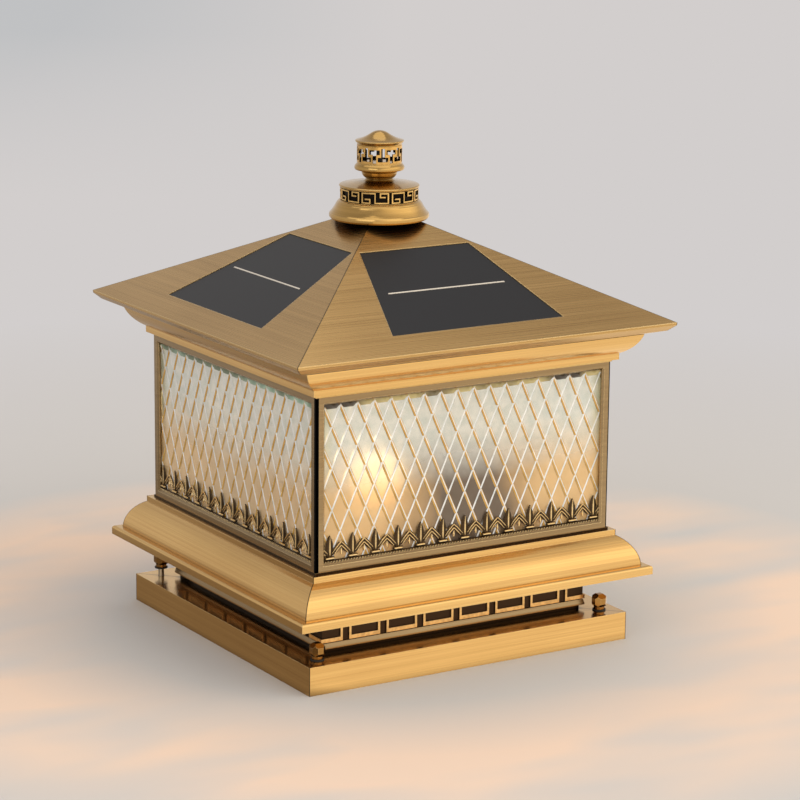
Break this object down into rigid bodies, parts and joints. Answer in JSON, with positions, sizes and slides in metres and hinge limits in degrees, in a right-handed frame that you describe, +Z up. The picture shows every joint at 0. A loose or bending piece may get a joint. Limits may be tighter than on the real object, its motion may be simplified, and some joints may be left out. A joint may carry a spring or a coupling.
{
  "type": "outdoor post light",
  "caption": "Square outdoor post light in antique brass with a solar pyramid roof, pressed diamond-glass panes, a pierced finial and a base cover held by faceted ball nuts.",
  "frame": {"origin": "middle of the base cover's underside, on the post's top", "axes": "+Z up, -Y towards the pane taken as the front, +X to the right of someone who faces that pane"},
  "size_m": [0.35, 0.35, 0.4136],
  "materials": {
    "antique_brass": "brushed, lacquered antique brass",
    "finial_brass": "spun and polished brass",
    "aged_brass": "dark aged brass with worn edges",
    "dark_bronze": "dark brown, polished",
    "zinc_steel": "zinc plated",
    "black_paint": "satin black",
    "white_paint": "satin white",
    "rivet_aluminium": "satin",
    "pressed_glass": "clear, pressed with a diamond lattice",
    "amber_glass": "frosted warm globe",
    "solar_glass": "dark laminate, glossy",
    "black_rubber": "matt",
    "lead_sheath": "matt brown sheath",
    "porcelain": "glazed",
    "white_plastic": "glossy",
    "black_plastic": "matt",
    "red_plastic": "matt",
    "cell_sleeve": "shrink sleeve",
    "circuit_board": "solder mask",
    "nickel_cap": "bright nickel",
    "light_board": "yellow phosphor strips"
  },
  "bodies": {
    "lantern": {"mounting_bracket": "zinc_steel", "base_cover": "antique_brass", "neck_box": "dark_bronze", "key_fret_band": "antique_brass", "neck_moulding": "antique_brass", "skirt_plate": "antique_brass", "skirt_shell": "antique_brass", "floor_plate": "dark_bronze", "case_screws": "zinc_steel", "corner_posts": "black_paint", "glass_frames": "antique_brass", "glass_pane_front": "pressed_glass", "glass_pane_right": "pressed_glass", "glass_pane_back": "pressed_glass", "glass_pane_left": "pressed_glass", "palmette_strips": "aged_brass", "glazing_seals": "black_rubber", "cornice_ring": "antique_brass", "weather_seal": "black_rubber", "cross_bar": "zinc_steel", "tie_rod": "zinc_steel", "rod_nuts": "zinc_steel", "lamp_holder": "porcelain", "lamp_plug": "white_plastic", "lamp_lead": "lead_sheath"},
    "roof": {"roof_shell": "antique_brass", "solar_panel_front": "solar_glass", "solar_panel_right": "solar_glass", "solar_panel_back": "solar_glass", "solar_panel_left": "solar_glass", "panel_trays": "black_plastic", "ceiling_plate": "white_paint", "ceiling_rivets": "rivet_aluminium", "battery_box": "black_plastic", "battery_cells": "cell_sleeve", "controller_board": "circuit_board", "battery_lid": "black_plastic", "switch_body": "black_plastic", "roof_socket": "white_plastic"},
    "gasket": {"finial_gasket": "black_rubber"},
    "finial": {"finial_base": "finial_brass", "key_ring": "finial_brass", "finial_lid": "finial_brass", "lantern_cup": "finial_brass", "t_ring": "finial_brass", "finial_cap": "finial_brass", "finial_stem": "zinc_steel"},
    "bulb": {"bulb_cap": "nickel_cap", "bulb_base": "white_plastic", "bulb_glass": "amber_glass", "bulb_filaments": "light_board"},
    "button": {"switch_button": "red_plastic"},
    "washer_1": {"nut_washer_1": "black_rubber"},
    "nut_1": {"ball_nut_1": "antique_brass"},
    "washer_2": {"nut_washer_2": "black_rubber"},
    "nut_2": {"ball_nut_2": "antique_brass"},
    "washer_3": {"nut_washer_3": "black_rubber"},
    "nut_3": {"ball_nut_3": "antique_brass"},
    "washer_4": {"nut_washer_4": "black_rubber"},
    "nut_4": {"ball_nut_4": "antique_brass"}
  },
  "joints": [
    {"name": "roof_lift", "type": "slide", "parent": "lantern", "child": "roof", "axis": [0, 0, 1], "range_m": [0, 0.11]},
    {"name": "finial_travel", "type": "slide", "parent": "roof", "child": "gasket", "axis": [0, 0, 1], "range_m": [0, 0.012]},
    {"name": "finial_turn", "type": "hinge", "parent": "gasket", "child": "finial", "pos_m": [0, 0, 0.35], "axis": [0, 0, 1], "range_deg": [0, 4320]},
    {"name": "switch_press", "type": "slide", "parent": "roof", "child": "button", "axis": [0, 0, 1], "range_m": [0, 0.002], "stiffness_N_per_m": 400, "springref_m": -0.002},
    {"name": "bulb_turn", "type": "hinge", "parent": "lantern", "child": "bulb", "pos_m": [0, 0, 0.08], "axis": [0, 0, 1], "range_deg": [0, 1080]},
    {"name": "nut_travel_1", "type": "slide", "parent": "lantern", "child": "washer_1", "axis": [0, 0, 1], "range_m": [0, 0.01]},
    {"name": "nut_turn_1", "type": "hinge", "parent": "washer_1", "child": "nut_1", "pos_m": [-0.134, -0.134, 0.03], "axis": [0, 0, 1], "range_deg": [0, 4500]},
    {"name": "nut_travel_2", "type": "slide", "parent": "lantern", "child": "washer_2", "axis": [0, 0, 1], "range_m": [0, 0.01]},
    {"name": "nut_turn_2", "type": "hinge", "parent": "washer_2", "child": "nut_2", "pos_m": [0.134, -0.134, 0.03], "axis": [0, 0, 1], "range_deg": [0, 4500]},
    {"name": "nut_travel_3", "type": "slide", "parent": "lantern", "child": "washer_3", "axis": [0, 0, 1], "range_m": [0, 0.01]},
    {"name": "nut_turn_3", "type": "hinge", "parent": "washer_3", "child": "nut_3", "pos_m": [0.134, 0.134, 0.03], "axis": [0, 0, 1], "range_deg": [0, 4500]},
    {"name": "nut_travel_4", "type": "slide", "parent": "lantern", "child": "washer_4", "axis": [0, 0, 1], "range_m": [-0.007, 0.003]},
    {"name": "nut_turn_4", "type": "hinge", "parent": "washer_4", "child": "nut_4", "pos_m": [-0.134, 0.134, 0.03], "axis": [0, 0, 1], "range_deg": [-3150, 1350]}
  ],
  "couplings": [
    {"joint": "finial_travel", "follows": "finial_turn", "m_per_rad": 0.00015915},
    {"joint": "nut_turn_1", "follows": "nut_travel_1", "rad_per_m": 7853.9},
    {"joint": "nut_turn_2", "follows": "nut_travel_2", "rad_per_m": 7853.9},
    {"joint": "nut_turn_3", "follows": "nut_travel_3", "rad_per_m": 7853.9},
    {"joint": "nut_turn_4", "follows": "nut_travel_4", "rad_per_m": 7853.9}
  ]
}
